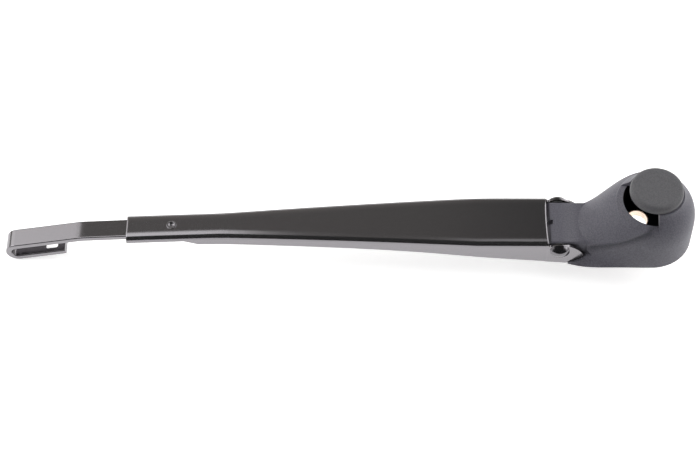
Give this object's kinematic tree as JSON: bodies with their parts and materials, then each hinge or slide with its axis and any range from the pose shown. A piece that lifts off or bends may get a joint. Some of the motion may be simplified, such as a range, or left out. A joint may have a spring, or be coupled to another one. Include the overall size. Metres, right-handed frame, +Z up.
{
  "type": "wiper arm",
  "caption": "Rear wiper arm: moulded spindle head with round cap, hinged folded channel with spring inside, and hooked strip for the blade.",
  "frame": {"origin": "on the spindle axis, at the lower end of the bore's wall", "axes": "+Z up along the spindle, away from the window glass; the arm runs along -X; Y is across the arm"},
  "size_m": [0.2949, 0.0364, 0.049],
  "materials": {
    "head_plastic": "fine grained black moulding",
    "cap_plastic": "fine grained black moulding",
    "bush_metal": "turned, bright",
    "black_paint": "satin black paint",
    "strip_paint": "satin black paint",
    "rivet_paint": "black paint, worn a little at the edges",
    "washer_plastic": "black plastic",
    "plain_steel": "zinc-plated steel",
    "spring_steel": "drawn spring wire"
  },
  "bodies": {
    "head": {"mounting_head": "head_plastic", "spindle_bush": "bush_metal", "spring_pin": "plain_steel"},
    "arm": {"arm_channel": "black_paint", "hook_strip": "strip_paint", "strip_rivet": "rivet_paint", "pivot_rivet": "rivet_paint", "pivot_washers": "washer_plastic"},
    "link": {"spring_link": "plain_steel", "tension_spring": "spring_steel"},
    "cap": {"nut_cap": "cap_plastic"}
  },
  "joints": [
    {"name": "arm_lift", "type": "hinge", "parent": "head", "child": "arm", "pos_m": [-0.0329, 0, -0.0025], "axis": [0, 1, 0], "range_deg": [0, 60]},
    {"name": "link_swing", "type": "hinge", "parent": "head", "child": "link", "pos_m": [-0.0279, 0, -0.0051], "axis": [0, 1, 0], "range_deg": [0, 56]},
    {"name": "cap_pull", "type": "slide", "parent": "head", "child": "cap", "axis": [0, 0, 1], "range_m": [0, 0.02]}
  ],
  "couplings": [
    {"joint": "link_swing", "follows": "arm_lift", "ratio": 0.9328}
  ]
}
